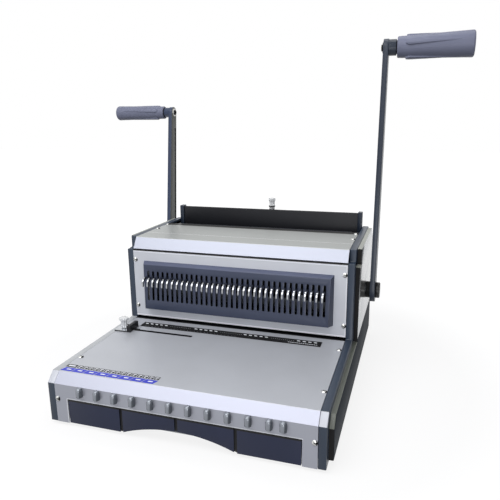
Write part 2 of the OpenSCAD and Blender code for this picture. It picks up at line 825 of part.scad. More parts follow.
// Flat tapered arm with round ends, drawn upright at its axis; groove_l > 0 mills a groove along its
// rear edge
module arm(start, bush_end, length, depth, groove_l) {
    end = start + arm_t;
    r1 = depth / 2;
    r2 = r1 * arm_top_share;
    taper = asin((r1 - r2) / length);
    low = [(r1 - sink) * cos(taper), r1 * sin(taper)];
    high = [(r2 - sink) * cos(taper), length + r2 * sin(taper)];
    groove_z = [collar_r + wall, groove_l];
    groove_y = [for (z = groove_z) r1 - (r1 - r2) * z / length - groove_at];
    difference() {
        union() {
            rod_x([start, end], 0, 0, r1);
            rod_x([start, end], 0, length, r2);
            across([start, end]) polygon([[-low[0], low[1]], low, high, [-high[0], high[1]]]);
            rod_x([bush_end + collar_gap, start], 0, 0, collar_r);
            rod_x([end - more, end + boss_t], 0, length, r2 - boss_in);
        }
        rod_x([bush_end - more, end + more], 0, 0, shaft_r + press_play);
        rod_x([start - more, end + boss_t + more], 0, length, bolt_r + sink);
        if (groove_l > 0) across([start - more, start + groove_cut[1]]) polygon([
            [groove_y[0] - groove_cut[0], groove_z[0]], [groove_y[0] + groove_cut[0], groove_z[0]],
            [groove_y[1] + groove_cut[0], groove_z[1]], [groove_y[1] - groove_cut[0], groove_z[1]]]);
    }
}
module grip_bolt(start, length, shank_end) {
    boss_end = start + arm_t + boss_t;
    ring_x = start - bolt_ring[1];
    difference() {
        rod_x([ring_x - bolt_head[1], ring_x + sink], 0, length, bolt_head[0]);
        rod_x([ring_x - bolt_head[1] - more, ring_x - bolt_head[1] + bolt_socket[1]], 0, length,
            bolt_socket[0]);
    }
    rod_x([ring_x, start], 0, length, bolt_ring[0]);
    rod_x([ring_x, shank_end], 0, length, bolt_r);
    rod_x([boss_end, boss_end + washer[1]], 0, length, washer[0]);
}

// Tapered grip with raised ribs, turning on its bolt
module grip(start, length, r1, r2) {
    round_at = grip_l - grip_round;
    translate([start, 0, length]) difference() {
        union() {
            rotate([0, 90, 0]) rotate_extrude($fn = fine) {
                polygon([[0, 0], [r1 - grip_edge, 0], [r1, grip_edge], [r2, round_at], [0, round_at]]);
                translate([0, round_at]) square([r2 - grip_round, grip_round]);
                translate([r2 - grip_round, round_at]) intersection() {
                    circle(r = grip_round);
                    square(grip_round);
                }
            }
            for (k = [0:rib_count - 1]) rotate([rib_turn + k * 360 / rib_count, 0, 0]) intersection() {
                rod_x(rib_at, 0, 0, rib_share * r2, $fn = fine);
                linear_extrude(r2) polygon([[rib_at[0] + rib_nose, -rib_w[0] / 2],
                    [rib_at[0], -rib_w[0] / 4], [rib_at[0], rib_w[0] / 4],
                    [rib_at[0] + rib_nose, rib_w[0] / 2], [rib_at[1], rib_w[1] / 2],
                    [rib_at[1], -rib_w[1] / 2]]);
            }
        }
        rod_x([-more, grip_bore], 0, 0, bolt_r + run_play);
    }
}
module at_punch() { translate([0, punch_axis_y, punch_axis_z]) rotate([-punch_lean, 0, 0]) children(); }
module at_closer() {
    mirror([1, 0, 0]) translate([0, closer_axis_y, closer_axis_z]) rotate([-closer_lean, 0, 0]) children();
}
module cap(start) { rod_x([start + arm_t, start + arm_t + cap_t], 0, 0, cap_r); }
module punch_arm() {
    color(navy) place() at_punch() arm(punch_arm_x, punch_bush_end, punch_arm_l, punch_arm_d, 0);
}
module punch_cap() { color(black) place() at_punch() cap(punch_arm_x); }
module punch_grip_bolt() {
    color(bright) place() at_punch() grip_bolt(punch_arm_x, punch_arm_l, punch_grip_x + grip_bore - more);
}
module punch_grip() {
    color(grip_grey) place() at_punch() grip(punch_grip_x, punch_arm_l, punch_grip_r1, punch_grip_r2);
}

// Pressure bar with three yokes round the eccentrics
module pressure_bar() {
    color(steel) place() difference() {
        union() {
            box([-frame_x + more, frame_x - more], press_y, press_z);
            box([-frame_out - more, frame_out + more], tongue_y, tongue_z);
            for (x = lug_x) box(around(x, lug_t / 2), around(disc_y, window_hy + lug_wall),
                [tongue_z[0], disc_z + window_hz + lug_wall]);
        }
        for (x = lug_x) box(around(x, lug_t), around(disc_y, window_hy), around(disc_z, window_hz));
    }
}
module punch_pins() {
    color(bright) place() for (i = [0:pin_count - 1]) {
        box(around(pin_x(i), pin_w / 2), around(punch_y, pin_w / 2), [pin_tip, press_z[0] - sink]);
        box(around(pin_x(i), pin_head_w / 2), around(punch_y, pin_head_w / 2),
            [press_z[0] - pin_head_h, press_z[0]]);
    }
}

// Latches behind the bar that a drawn pull lets go
module pin_latches() {
    color(bright) place() for (i = pull_pins) box(around(pin_x(i), latch_hw), latch_y, latch_z);
}

// Closer lever: shaft, cranks, arm, cap and grip
module closer_shaft() {
    color(steel) place()
        rod_x([-closer_arm_x - arm_t, frame_out + bush_stub], closer_axis_y, closer_axis_z, shaft_r);
}
module closer_cranks() {
    web = around(crank_x, crank_t / 2);
    eye = crank_pin_r + crank_wall;
    color(steel) place() both() difference() {
        translate([0, closer_axis_y, closer_axis_z]) rotate([-crank_a, 0, 0]) {
            rod_x(web, 0, 0, shaft_r + crank_hub);
            rod_x(web, 0, crank_r, eye);
            box(web, around(0, eye), [0, crank_r]);
            rod_x([crank_x - crank_pin_l, crank_x], 0, crank_r, crank_pin_r);
        }
        rod_x(around(crank_x, crank_t), closer_axis_y, closer_axis_z, shaft_r);
    }
}
module closer_arm() {
    color(navy) place() at_closer()
        arm(closer_arm_x, closer_bush_end, closer_arm_l, closer_arm_d, closer_arm_l - closer_arm_d);
}
module closer_cap() { color(black) place() at_closer() cap(closer_arm_x); }
module closer_grip_bolt() {
    color(bright) place() at_closer()
        grip_bolt(closer_arm_x, closer_arm_l, closer_grip_x + grip_bore - more);
}
module closer_grip() {
    color(grip_grey) place() at_closer() grip(closer_grip_x, closer_arm_l, closer_grip_r1, closer_grip_r2);
}

// Carriage that the crank pins push: plate, slotted lugs and uprights through the bed
module closer_carriage() {
    color(steel) place() both() difference() {
        union() {
            box([-sink, frame_x - carriage_in], carriage_y, carriage_z);
            box(around(yoke_x, yoke_t / 2), around(crank_y, yoke_hy), [yoke_low, carriage_z[1]]);
            box(upright_x, upright_y, [carriage_z[0], upright_top]);
        }
        box(around(yoke_x, yoke_t), around(crank_y, crank_pin_r + yoke_play), [yoke_low - more, yoke_top]);
    }
}
module closer_bar() { color(black) place() box([-bar_hw, bar_hw], bar_y, [bar_bottom, bar_top]); }
module closer_brackets() {
    color(navy) place() both() box([bar_hw, tab_end], bracket_y, [bar_bottom, bar_top + bracket_rise]);
}

// Head of a hand screw: a barrel and its wider rim, fluted for the fingers
module fluted(r, h) {
    difference() {
        cylinder(h = h, r = r);
        for (k = [0:flute_count - 1]) rotate(k * 360 / flute_count) translate([r + flute_out, 0, -more])
            cylinder(h = h + 2 * more, r = flute_r, $fn = slim);
    }
}
module knob_head(head, rim) {
    fluted(head[0], head[1]);
    translate([0, 0, head[1] - rim[1]]) fluted(rim[0], rim[1]);
}

// Edge guide that slides along the slot in the plate, and its clamp screw
module edge_guide() {
    low = guide_lift;
    top = guide_lift + guide_base[1];
    tongue = around(slot_y, guide_tongue[2]);
    color(black) place() difference() {
        union() {
            box([guide_x - guide_base[0], guide_x], [slot_y - guide_hy[0], slot_y + guide_hy[1]], [low, top]);
            box([guide_x - guide_block[0], guide_x], around(slot_y, guide_hy[0]), [low, guide_block[1]]);
            box([guide_x + guide_tongue[0], guide_x + guide_tongue[1]], tongue, [-sheet - more, top]);
            box([guide_x - more, guide_x + guide_tongue[1]], tongue, [low, top]);
        }
        translate([clamp_x, slot_y, -more]) cylinder(h = top + 2 * more, r = stem_r + run_play);
    }
}
module guide_clamp() {
    head = guide_lift + guide_base[1] + gap;
    color(bright) place() translate([clamp_x, slot_y, 0]) {
        translate([0, 0, head]) knob_head(clamp_head, clamp_rim);
        translate([0, 0, gap]) cylinder(h = head, r = stem_r);
    }
}

// Knob on a stem behind the bar that sets how far the closer opens
module size_knob() {
    foot = bed_z - sheet - size_knob_rise;
    head = bar_top + size_knob_rise;
    color(grip_grey) place() translate([size_knob_x, size_knob_y, 0]) {
        translate([0, 0, foot]) cylinder(h = head - foot + more, r = stem_r);
        translate([0, 0, head - collar_drop]) cylinder(h = collar_drop + more, r = size_knob_head[0]);
        translate([0, 0, head - sink]) cylinder(h = size_knob_ring[1], r = size_knob_ring[0]);
        translate([0, 0, head]) knob_head(size_knob_head, size_knob_rim);
    }
}

// Drawer: tray and front
module waste_drawer() {
    inner = tray_hw - tray_wall;
    color(slate) place() difference() {
        box([-tray_hw, tray_hw], tray_y, tray_z);
        box([-inner, inner], [tray_y[0] + tray_wall, tray_y[1] - tray_wall],
            [tray_z[0] + tray_wall, tray_z[1] + more]);
    }
}
module drawer_front() {
    back = drawer_face + drawer_t;
    color(slate) place() difference() {
        union() {
            box([-drawer_hw + drawer_side, drawer_hw - drawer_side], [drawer_face, back], drawer_z);
            both() box(around(tray_lug_x, tray_lug_hw), [back - more, tray_y[0]],
                [drawer_z[0] + tray_lug_in, drawer_z[1] - tray_lug_in]);
        }
        rod_y(0, [drawer_face - more, back + more], floor_z + arch_rise - arch_r, arch_r, $fn = smooth);
        for (x = groove_x) box(around(x, groove_w / 2), [drawer_face - more, drawer_face + groove_d],
            [floor_z, drawer_z[1] + more]);
    }
}

// Pull of one punch: moulded knob, joggled strip under the plate and blade behind the die
module pin_pull(k) {
    x = pin_x(pull_pins[k]);
    side = x + pull_shift;
    strip = around(side, pull_t / 2);
    color(silver) place() {
        difference() {
            translate([x, knob_y, knob_z[0]]) {
                cylinder(h = knob_z[1] - knob_z[0], r = knob_r);
                translate([0, 0, knob_z[1] - knob_z[0]]) sphere(r = knob_r);
            }
            box(around(x, knob_r + more), [-base_reach - gap, knob_y + knob_r + more],
                [knob_z[0] - more, knob_z[1] + knob_r + more]);
        }
        box(around(x, pull_t / 2), [knob_y, jog_y + pull_t], pull_z);
        box([x - pull_t / 2, strip[1]], [jog_y, jog_y + pull_t], pull_z);
        box(strip, [jog_y, blade_y[1]], pull_z);
        box(strip, blade_y, [pull_z[0], blade_z[1]]);
        box(blade_x(k), blade_y, blade_z);
    }
}

base_pan();
base_top();
side_frame_left();
side_frame_right();
side_cover_left();
side_cover_right();
front_panel();
hook_trim();
hook_rail();
wire_hooks();
cover_front();
cover_rear();
rear_panel();
closer_bed();
closer_anvil();
die_block();
guide_block();
back_gauge();
tie_rods();
shaft_bushes();
pull_guide();
rubber_feet();
panel_screws();
ruler_strip();
punch_springs();
punch_shaft();
punch_eccentrics();
punch_arm();
punch_cap();
punch_grip_bolt();
punch_grip();
pressure_bar();
punch_pins();
pin_latches();
closer_shaft();
closer_cranks();
closer_arm();
closer_cap();
closer_grip_bolt();
closer_grip();
closer_carriage();
closer_bar();
closer_brackets();
edge_guide();
guide_clamp();
size_knob();
waste_drawer();
drawer_front();
pin_pull(0);  // pin_pull_01
pin_pull(1);  // pin_pull_02
pin_pull(2);  // pin_pull_03
pin_pull(3);  // pin_pull_04
pin_pull(4);  // pin_pull_05
pin_pull(5);  // pin_pull_06
pin_pull(6);  // pin_pull_07
pin_pull(7);  // pin_pull_08
pin_pull(8);  // pin_pull_09
pin_pull(9);  // pin_pull_10
pin_pull(10);  // pin_pull_11
pin_pull(11);  // pin_pull_12
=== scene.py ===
import json
import math

import bmesh
import bpy
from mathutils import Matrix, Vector

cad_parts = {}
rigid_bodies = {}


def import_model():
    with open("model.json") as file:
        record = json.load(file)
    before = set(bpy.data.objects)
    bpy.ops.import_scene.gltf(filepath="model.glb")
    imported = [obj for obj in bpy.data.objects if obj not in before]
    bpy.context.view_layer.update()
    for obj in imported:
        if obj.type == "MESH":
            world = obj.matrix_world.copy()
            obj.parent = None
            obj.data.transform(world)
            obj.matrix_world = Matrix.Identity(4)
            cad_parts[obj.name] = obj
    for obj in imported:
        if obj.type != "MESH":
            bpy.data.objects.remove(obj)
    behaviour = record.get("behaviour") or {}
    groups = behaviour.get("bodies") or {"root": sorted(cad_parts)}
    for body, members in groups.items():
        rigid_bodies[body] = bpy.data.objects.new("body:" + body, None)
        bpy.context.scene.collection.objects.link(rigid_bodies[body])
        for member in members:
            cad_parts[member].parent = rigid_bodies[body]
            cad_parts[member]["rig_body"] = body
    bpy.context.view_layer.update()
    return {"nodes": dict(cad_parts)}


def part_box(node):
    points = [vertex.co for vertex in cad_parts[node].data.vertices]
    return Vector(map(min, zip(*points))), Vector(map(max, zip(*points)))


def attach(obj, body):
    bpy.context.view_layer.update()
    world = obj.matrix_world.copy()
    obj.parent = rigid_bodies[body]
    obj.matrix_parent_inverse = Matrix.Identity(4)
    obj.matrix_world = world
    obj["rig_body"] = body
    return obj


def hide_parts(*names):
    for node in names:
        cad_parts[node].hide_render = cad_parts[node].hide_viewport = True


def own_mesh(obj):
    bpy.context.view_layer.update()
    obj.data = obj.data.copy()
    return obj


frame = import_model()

nodes = frame["nodes"]
scene = bpy.context.scene
MM = 0.001

# The machine's own zero: the middle of the case in X, the head's front in Y, the plate's top in Z
SHEET = 1.5
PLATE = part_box("base_top")
ZERO = Vector(((PLATE[0].x + PLATE[1].x) / 2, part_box("front_panel")[1].y - SHEET * MM, PLATE[1].z))


def at(x, y, z):
    """A place in the machine's own millimetres, as a point of the row frame in metres."""
    return ZERO + Vector((x, y, z)) * MM


# ------------------------------------------------------------------ camera
# Fitted to the straight edges of the case: place in the machine's millimetres, turn in degrees
LENS = 37.835
CAMERA_PLACE = (264.05, -740.28, 319.44)
CAMERA_TURN = (76.206, 0.602, 17.635)
camera_data = bpy.data.cameras.new("camera")
camera_data.sensor_width = 36.0
camera_data.lens = LENS
camera_data.clip_start = 0.01
camera_data.clip_end = 50.0
camera = bpy.data.objects.new("camera", camera_data)
camera.location = at(*CAMERA_PLACE)
camera.rotation_euler = [math.radians(a) for a in CAMERA_TURN]
scene.collection.objects.link(camera)
scene.camera = camera


# ------------------------------------------------------------------ materials
def linear(hex_colour):
    """An sRGB hex colour as linear RGBA."""
    out = []
    for i in (0, 2, 4):
        c = int(hex_colour[i:i + 2], 16) / 255
        out.append(c / 12.92 if c <= 0.04045 else ((c + 0.055) / 1.055) ** 2.4)
    return (*out, 1.0)


def add(tree, kind, inputs=None, **settings):
    """Adds a node to a tree, with its settings, and its inputs as values or links."""
    n = tree.nodes.new(kind)
    for key, value in settings.items():
        setattr(n, key, value)
    for key, value in (inputs or {}).items():
        if isinstance(value, bpy.types.NodeSocket):
            tree.links.new(value, n.inputs[key])
        else:
            n.inputs[key].default_value = value
    return n


def empty_tree(owner):
    """The node tree of a new material or world, without the nodes that it starts with."""
    owner.use_nodes = True
    owner.node_tree.nodes.clear()
    return owner.node_tree


TINT_BAND = (0.32, 0.68)        # the noise values at which the colour is darkest and lightest
GLOSS_DRIFT = 0.05              # how far the grain moves the roughness either way
GRAIN_STRENGTH = 0.5
COAT_ROUGHNESS = 0.2


def surface(name, colour, vary, patch, grain, grain_depth, roughness, metallic=0.0, coat=0.0,
            specular=0.5, marks=(), brushed=None):
    """A finish: a base colour that drifts by the share vary over patches of a size, and a grain.

    patch and grain are sizes in millimetres and grain_depth a height in millimetres. marks are
    (low corner, high corner, hex colour) boxes in the machine's millimetres, where the finish is
    another colour, and may end in a roughness and a metallic share of their own. brushed gives a
    stretch of the grain along X, Y and Z for a worked metal.
    """
    m = bpy.data.materials.new(name)
    t = empty_tree(m)
    place = add(t, "ShaderNodeTexCoord").outputs["Object"]
    r, g, b, _ = linear(colour)
    drift = add(t, "ShaderNodeTexNoise", {"Vector": place, "Scale": 1000 / patch, "Detail": 4.0})
    tint = add(t, "ShaderNodeValToRGB", {"Fac": drift.outputs["Fac"]})
    for element, stop, k in zip(tint.color_ramp.elements, TINT_BAND, (1 - vary, 1 + vary)):
        element.position = stop
        element.color = (r * k, g * k, b * k, 1.0)
    base = tint.outputs["Color"]
    spread = place
    if brushed:
        spread = add(t, "ShaderNodeMapping", {"Vector": place, "Scale": brushed}).outputs["Vector"]
    fine = add(t, "ShaderNodeTexNoise", {"Vector": spread, "Scale": 1000 / grain, "Detail": 2.0})
    gloss = add(t, "ShaderNodeMapRange", {
        "Value": fine.outputs["Fac"], "To Min": roughness - GLOSS_DRIFT,
        "To Max": roughness + GLOSS_DRIFT}).outputs["Result"]
    for low, high, other, *own in marks:
        lo, hi = at(*low), at(*high)
        middle, half = (lo + hi) / 2, (hi - lo) / 2
        off = add(t, "ShaderNodeVectorMath", {0: place, 1: middle}, operation="SUBTRACT")
        far = add(t, "ShaderNodeVectorMath", {0: off.outputs["Vector"]}, operation="ABSOLUTE")
        room = add(t, "ShaderNodeVectorMath", {0: half, 1: far.outputs["Vector"]},
                   operation="SUBTRACT")
        axes = add(t, "ShaderNodeSeparateXYZ", {"Vector": room.outputs["Vector"]}).outputs
        low_xy = add(t, "ShaderNodeMath", {0: axes["X"], 1: axes["Y"]}, operation="MINIMUM")
        least = add(t, "ShaderNodeMath", {0: low_xy.outputs["Value"], 1: axes["Z"]},
                    operation="MINIMUM")
        inside = add(t, "ShaderNodeMath", {0: least.outputs["Value"], 1: 0.0},
                     operation="GREATER_THAN").outputs["Value"]
        base = add(t, "ShaderNodeMix", {"Factor": inside, "A": base, "B": linear(other)},
                   data_type="RGBA").outputs["Result"]
        if own:
            gloss, metallic = [
                add(t, "ShaderNodeMix", {"Factor": inside, "A": was, "B": now},
                    data_type="FLOAT").outputs["Result"]
                for was, now in zip((gloss, metallic), own)]
    relief = add(t, "ShaderNodeBump", {"Height": fine.outputs["Fac"], "Strength": GRAIN_STRENGTH,
                                       "Distance": grain_depth * MM})
    shader = add(t, "ShaderNodeBsdfPrincipled", {
        "Base Color": base, "Roughness": gloss, "Normal": relief.outputs["Normal"],
        "Metallic": metallic, "Coat Weight": coat, "Coat Roughness": COAT_ROUGHNESS,
        "Specular IOR Level": specular})
    add(t, "ShaderNodeOutputMaterial", {"Surface": shader.outputs["BSDF"]})
    return m


# Places on the case in the machine's millimetres, read from the frame or named for their sheet. A
# mark reaches a little past the sheet that it is on
DRAWER = [(c - ZERO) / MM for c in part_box("drawer_front")]
TRIM = [(c - ZERO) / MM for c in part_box("hook_trim")]
COVER_REAR = ((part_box("cover_rear")[1] - ZERO) / MM).y
CASE_X = (-176, 176)
SIDES_X = (-195, 195)
PLATE_FRONT_Y = (-221, -217)
BEVEL_REAR_Y, BEVEL_FOOT_Z = -207.9, -12.6
PANEL_Y = (-2, 3)
PANEL_FOOT_Z, PANEL_TOP_Z, LIP_GAP_Z = 3.0, 113.0, 115.2
COVER_Z = (130, 137)
OPENING_X = (-158, 158)         # the opening for the drawer
FOLD_OVER, FOLD_LEFT = 1.9, 2.4  # widths of the painted highlights on the folds round it
DRAWER_LINE = 2.4               # width of the painted shade along the drawer's upper edge
GROOVE_X = (-78.5, -1.5, 76.0)
GROOVE_HALF = 2.1


def across(y, z, colour, x=CASE_X):
    """A mark for surface() over ranges in Y and Z, right across the case or over a range in X."""
    return (x[0], y[0], z[0]), (x[1], y[1], z[1]), colour


# Silver lacquer with metal flake on folded steel: a soft lobe round the mirror direction and fine
# orange peel, about 1.4 mm as it really is. Marks paint highlights on the folds, and paint shade,
# nearly black, in cut edges and gaps
LACQUER = {"vary": 0.03, "patch": 60, "grain": 1.4, "grain_depth": 0.02, "coat": 0.1}
PLATE_LACQUER = surface(
    "silver_lacquer_plate", "b8bbc2", **LACQUER, roughness=0.42, metallic=0.28, marks=[
        across((-6.2, 40), (-6, 2), "050506"),                              # painted shade in the paper throat
        across((-57.0, -51.0), (-4, 0.1), "060607", (-149, -51.5)),         # painted shade in the guide's slot
        across((PLATE_FRONT_Y[0], BEVEL_REAR_Y), (BEVEL_FOOT_Z, -0.4), "b6b9c9"),   # the bevel, bluer: a painted tint for the lamp's reflection on it
        across(PLATE_FRONT_Y, (-80, BEVEL_FOOT_Z), "a4a7b2"),               # the upright front: painted shade, darker than the plate
        # Painted highlights on the folds over the drawer and to its left
        across(PLATE_FRONT_Y, (DRAWER[1].z, DRAWER[1].z + FOLD_OVER), "d0d3db", OPENING_X),
        across(PLATE_FRONT_Y, (-70, DRAWER[1].z), "d6d9e0",
               (DRAWER[0].x - FOLD_LEFT, DRAWER[0].x))])
# The panel's lacquer is paler than the plate's: painted light, for the brighter light that falls on
# the panel
PANEL_LACQUER = surface(
    "silver_lacquer_panel", "cbced6", **LACQUER, roughness=0.45, metallic=0.12, marks=[
        across(PANEL_Y, (PANEL_TOP_Z, LIP_GAP_Z), "dfe2ea"),                # painted highlight on the fold under the lip
        across(PANEL_Y, (LIP_GAP_Z, 118), "08080a"),                        # painted shade in the gap above it
        across(PANEL_Y, (PANEL_FOOT_Z, PANEL_TOP_Z), "e8eaf0", (173.4, CASE_X[1])),  # painted highlight on the right fold
        across(PANEL_Y, (PANEL_FOOT_Z, 6.0), "eef0f8")])                    # painted highlight on the fold along the foot
COVER_LACQUER = surface(
    "silver_lacquer_cover", "a4a7a6", **LACQUER, roughness=0.42, metallic=0.35, marks=[
        across((0, 12.6), (110, COVER_Z[1]), "a9adbb"),                     # the lip, bluer: a painted tint for the lamp's reflection on it
        across((COVER_REAR - 16, COVER_REAR + 3), COVER_Z, "0b0b0d"),       # painted shade along the rear edge
        across((50.4, 52.2), COVER_Z, "e8eaec")])                           # painted highlight where the sheets meet
# Zinc plating: grey metal with a blurred reflection, cloudy from the bath
PAN_STEEL = surface("zinc_plated_steel", "8d9094", vary=0.06, patch=30, grain=1.0, grain_depth=0.01,
                    roughness=0.45, metallic=0.9)

# Moulded ABS with a fine spark-eroded grain: an even sheen without a clear reflection. The real
# grain is about 0.2 mm and is drawn at 0.7 mm, so that it shows
MOULDED = {"patch": 40, "grain": 0.7, "grain_depth": 0.03}
NAVY_ABS = surface("navy_abs", "2b3748", **MOULDED, vary=0.06, roughness=0.36, specular=0.45)
# The upper edge of the base: the same moulding, with a painted highlight that makes it pale, paler
# still at the bevel
SIDE_EDGE_HIGHLIGHT_ABS = surface(
    "side_edge_painted_highlight", "b3b6ba", **MOULDED, vary=0.05, roughness=0.36, specular=0.45, marks=[
        across((-222, BEVEL_REAR_Y), (-16, 2), "cbced8", SIDES_X)])
# Pads on the sides: dull charcoal at the base, with grey-green edges. On the head they are sprayed
# with silver lacquer, smooth enough to mirror the floor at a low angle
HEAD_PAD = across((-5, 226), (-1.5, 140), "d2d4d6", SIDES_X)
LACQUERED = (0.25, 0.7)         # roughness and metallic share
CHARCOAL_ABS = surface("charcoal_abs", "1b242e", **MOULDED, vary=0.08, roughness=0.6,
                       specular=0.06, marks=[(*HEAD_PAD, *LACQUERED)])
PAD_EDGE_ABS = surface("grey_green_pad_edge", "5a5e57", **MOULDED, vary=0.06, roughness=0.36,
                       marks=[(*HEAD_PAD[:2], "9c9f97")])
TRIM_ABS = surface("blue_grey_trim_abs", "383f54", **MOULDED, vary=0.05, roughness=0.36,
                   specular=0.4)
# The trim's upper edge: a painted highlight, paler than the trim
TRIM_TOP_HIGHLIGHT_ABS = surface("trim_top_painted_highlight", "4d546e", **MOULDED, vary=0.05, roughness=0.34)

# Smaller mouldings: the same grain, drawn a little coarser still. The drawer is dull, and painted
# shade makes its grooves and upper line nearly black
SMALL = {"grain": 0.8, "grain_depth": 0.03}
DRAWER_ABS = surface(
    "slate_drawer_abs", "22283f", **SMALL, vary=0.05, patch=40, roughness=0.46, specular=0.3,
    marks=[across((DRAWER[0].y + 0.3, DRAWER[1].y), (DRAWER[0].z - 1, DRAWER[1].z), "05060a",
                  (x - GROOVE_HALF, x + GROOVE_HALF)) for x in GROOVE_X] + [
        across((DRAWER[0].y - 1, DRAWER[1].y), (DRAWER[1].z - DRAWER_LINE, DRAWER[1].z + 1),
               "050608")])
# Grips: nearly smooth, with a weak sheen from handling
GRIP_ABS = surface("grey_violet_grip", "767a8f", vary=0.04, patch=25, grain=0.8, grain_depth=0.01,
                   roughness=0.36, specular=0.14)
BLACK_ABS = surface("black_abs", "0d0e11", **SMALL, vary=0.08, patch=30, roughness=0.36,
                    specular=0.4)
# Pulls: a hard gloss with a bright spot on each; the side that looks away gets a duller, darker
# material as painted shade
PULL_ABS = surface("light_grey_pull", "888d96", **SMALL, vary=0.04, patch=20, roughness=0.25,
                   metallic=0.35, coat=0.2)
PULL_SHADE_ABS = surface("pull_side_painted_shade", "565b63", **SMALL, vary=0.04, patch=20, roughness=0.4,
                         specular=0.3)
# Polished knobs: pale, with a clear highlight
CLEAR_ABS = surface("pale_clamp_knob", "d8dadd", vary=0.04, patch=20, grain=0.8, grain_depth=0.02,
                    roughness=0.22, metallic=0.1, coat=0.3)
# Printed film: matt, without a highlight
RULER_FILM = surface("matt_black_film", "0b0b0d", vary=0.08, patch=30, grain=0.8, grain_depth=0.01,
                     roughness=0.6, specular=0.2)

# Enamel sprayed on steel: smoother than the mouldings, with a slow orange peel in its real size
ENAMEL = {"grain": 1.2, "grain_depth": 0.02}
ARM_ENAMEL = surface(
    "navy_enamel", "242d3c", **ENAMEL, vary=0.06, patch=30, roughness=0.38, coat=0.1, specular=0.3,
    marks=[across((-60, 300), (0, 400), "36415a", (-226, -190))])       # the closer's arm, lighter
# The closer arm's inner side: painted reflection, lighter and grey-green, for warm light on it
ARM_SIDE_PAINTED_REFLECTION = surface("arm_side_painted_reflection", "4f524d", **ENAMEL, vary=0.06, patch=30, roughness=0.42,
                     specular=0.4)
BLACK_ENAMEL = surface("black_enamel", "1b1c21", **ENAMEL, vary=0.08, patch=50, roughness=0.44,
                       specular=0.3)

# Metals keep the default IOR. Their real grain is about 0.1 mm and is drawn coarser, so that it
# shows. Ground steel has bright lines: the stretch draws them along X
STEEL = surface("ground_steel", "7f848b", vary=0.08, patch=12, grain=2.0, grain_depth=0.01,
                roughness=0.34, metallic=1.0, brushed=(0.02, 1, 1))
# Blackened steel: an oxide layer, so that it is dark and hardly shines. It also paints shade, nearly
# black, in the trim's slots, the closer arm's groove and on the screws' far sides and crosses
BLACKENED_STEEL_AND_SHADE = surface("blackened_steel_and_painted_shade", "0a0b0e", vary=0.1, patch=20, grain=1.0, grain_depth=0.01,
                      roughness=0.5, specular=0.15)
# Nickel and chrome plating: bright, with sharp reflections, sharpest on the hooks
PLATED = {"patch": 8, "grain": 1.0, "grain_depth": 0.005, "metallic": 1.0}
NICKEL = surface("nickel_plate", "c9ccd0", **PLATED, vary=0.05, roughness=0.2)
HOOK_CHROME = surface("chromed_hook", "a9abaf", **PLATED, vary=0.08, roughness=0.16)
# Zinc on screws and washers: pale and a little blurred
ZINC = {"grain": 0.8, "grain_depth": 0.01}
SCREW_ZINC = surface("zinc_screw", "d9dad8", **ZINC, vary=0.08, patch=5, roughness=0.32,
                     metallic=1.0)
ZINC_WASHER = surface("zinc_washer", "e2e2de", **ZINC, vary=0.04, patch=6, roughness=0.3,
                      metallic=0.3)
# Moulded rubber: matt and a little dusty
FOOT_RUBBER = surface("foot_rubber", "141414", vary=0.1, patch=15, grain=0.9, grain_depth=0.05,
                      roughness=0.8, specular=0.3)
# Screen-printed inks: flat colour with a dull sheen
PRINTED = {"patch": 10, "grain": 0.5, "grain_depth": 0.01}
WHITE_INK = surface("white_ink", "eceff5", **PRINTED, vary=0.02, roughness=0.5)
GREY_INK = surface("grey_ink", "8a8c90", **PRINTED, vary=0.05, roughness=0.5)
BLUE_INK = surface("blue_ink", "2f3bc0", **PRINTED, vary=0.05, roughness=0.45)
DARK_INK = surface("dark_ink", "1b1c20", **PRINTED, vary=0.05, roughness=0.5)


def dress(material, *names):
    """Puts a material on CAD nodes."""
    for name in names:
        mesh = nodes[name].data
        if mesh.materials:
            for i in range(len(mesh.materials)):
                mesh.materials[i] = material
        else:
            mesh.materials.append(material)


PULLS = [n for n in nodes if n.startswith("pin_pull")]
dress(PLATE_LACQUER, "base_top")
dress(PANEL_LACQUER, "front_panel")
dress(COVER_LACQUER, "cover_front", "cover_rear")
dress(PAN_STEEL, "base_pan", "rear_panel")
dress(NAVY_ABS, "side_cover_left", "side_cover_right")
dress(ARM_ENAMEL, "punch_arm", "closer_arm", "closer_brackets")
dress(TRIM_ABS, "hook_trim")
dress(DRAWER_ABS, "waste_drawer", "drawer_front")
dress(BLACK_ENAMEL, "closer_bed", "closer_bar")
dress(BLACK_ABS, "shaft_bushes", "punch_cap", "closer_cap", "edge_guide")
dress(RULER_FILM, "ruler_strip")
dress(FOOT_RUBBER, "rubber_feet")
dress(BLACKENED_STEEL_AND_SHADE, "hook_rail", "die_block", "guide_block", "back_gauge", "side_frame_left",
      "side_frame_right")
dress(STEEL, "closer_anvil", "tie_rods", "pull_guide", "punch_shaft", "punch_eccentrics",
      "pressure_bar", "closer_shaft", "closer_cranks", "closer_carriage")
dress(HOOK_CHROME, "wire_hooks")
dress(NICKEL, "punch_springs", "punch_pins", "pin_latches")
dress(SCREW_ZINC, "panel_screws", "punch_grip_bolt", "closer_grip_bolt")
dress(GRIP_ABS, "punch_grip", "closer_grip")
dress(CLEAR_ABS, "guide_clamp", "size_knob")
dress(PULL_ABS, *PULLS)


# ------------------------------------------------------------------ rounded solids
def faces_where(test):
    """Finds the faces whose middle c, in the machine's millimetres, and normal n pass the test."""
    return lambda bm: [f for f in bm.faces if test((f.calc_center_median() - ZERO) / MM, f.normal)]


CROSS_REACH = 2.3               # of a screw's cross, from the axis of its head
CROSS_DEPTH = 0.7


